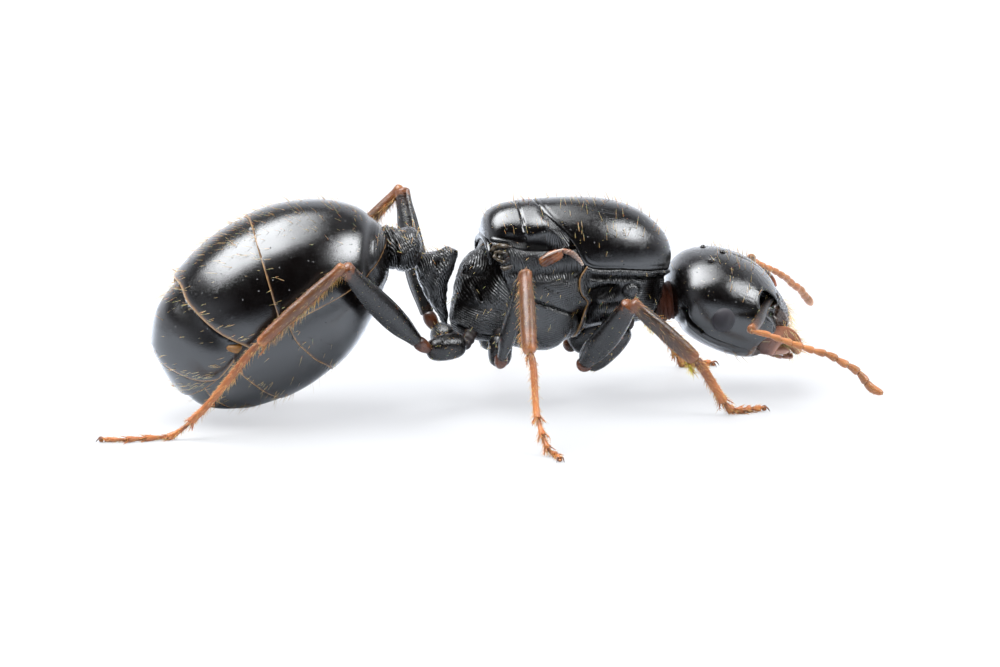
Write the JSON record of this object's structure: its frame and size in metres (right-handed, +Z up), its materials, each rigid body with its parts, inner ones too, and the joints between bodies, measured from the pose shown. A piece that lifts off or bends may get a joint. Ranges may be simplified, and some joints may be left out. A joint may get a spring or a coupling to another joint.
{
  "type": "ant queen model",
  "caption": "Life-size still model of a wingless black harvester ant queen, standing with head low, glossy abdomen raised and antennae forward.",
  "frame": {"origin": "centre of the bounding box on the floor that the feet stand on", "axes": "+X from tail to head, +Y to the ant's left, +Z up"},
  "size_m": [0.0188, 0.0114, 0.0051],
  "materials": {
    "glossy_shell": "near-black polished shell with a faint blue sheen",
    "striped_shell": "near-black shell, finely grooved, satin",
    "eye": "dark grey, many fine facets",
    "mandible": "dark red-brown horn",
    "mouthparts": "pale brown, soft sheen",
    "neck": "red-brown skin and dark plates",
    "wing_scar": "pinkish-brown healed stump of a shed wing",
    "dark_leg": "grey-black, satin",
    "leg_joint": "orange-red horn",
    "shin": "dark brown with golden hairs",
    "foot": "orange-brown horn with golden hairs",
    "scape": "dark, reddish at the far end",
    "funicle": "orange-brown, finely haired"
  },
  "bodies": {
    "root": {"coxa_fore_right": "dark_leg", "trochanter_fore_right": "leg_joint", "femur_fore_right": "dark_leg", "tibia_fore_right": "shin", "tarsus_fore_right": "foot", "coxa_fore_left": "dark_leg", "trochanter_fore_left": "leg_joint", "femur_fore_left": "dark_leg", "tibia_fore_left": "shin", "tarsus_fore_left": "foot", "coxa_mid_right": "dark_leg", "trochanter_mid_right": "leg_joint", "femur_mid_right": "dark_leg", "tibia_mid_right": "shin", "tarsus_mid_right": "foot", "coxa_mid_left": "dark_leg", "trochanter_mid_left": "leg_joint", "femur_mid_left": "dark_leg", "tibia_mid_left": "shin", "tarsus_mid_left": "foot", "coxa_hind_right": "dark_leg", "trochanter_hind_right": "leg_joint", "femur_hind_right": "dark_leg", "tibia_hind_right": "shin", "tarsus_hind_right": "foot", "coxa_hind_left": "dark_leg", "trochanter_hind_left": "leg_joint", "femur_hind_left": "dark_leg", "tibia_hind_left": "shin", "tarsus_hind_left": "foot", "petiole": "striped_shell", "postpetiole": "striped_shell", "neck": "neck", "mesoscutum": "glossy_shell", "scutellum": "glossy_shell", "propodeum": "striped_shell", "mesopleuron": "striped_shell", "pronotum": "striped_shell", "wing_stump_right": "wing_scar", "wing_stump_left": "wing_scar", "gaster_tergite_1": "glossy_shell", "gaster_tergite_2": "glossy_shell", "gaster_tergite_3": "glossy_shell", "gaster_tergite_4": "glossy_shell", "gaster_sternite_1": "glossy_shell", "gaster_sternite_2": "glossy_shell", "gaster_sternite_3": "glossy_shell", "gaster_sternite_4": "glossy_shell", "head_capsule": "glossy_shell", "eye_right": "eye", "eye_left": "eye", "mandible_right": "mandible", "mandible_left": "mandible", "mouthparts": "mouthparts", "scape_right": "scape", "funicle_right": "funicle", "scape_left": "scape", "funicle_left": "funicle"}
  },
  "joints": []
}
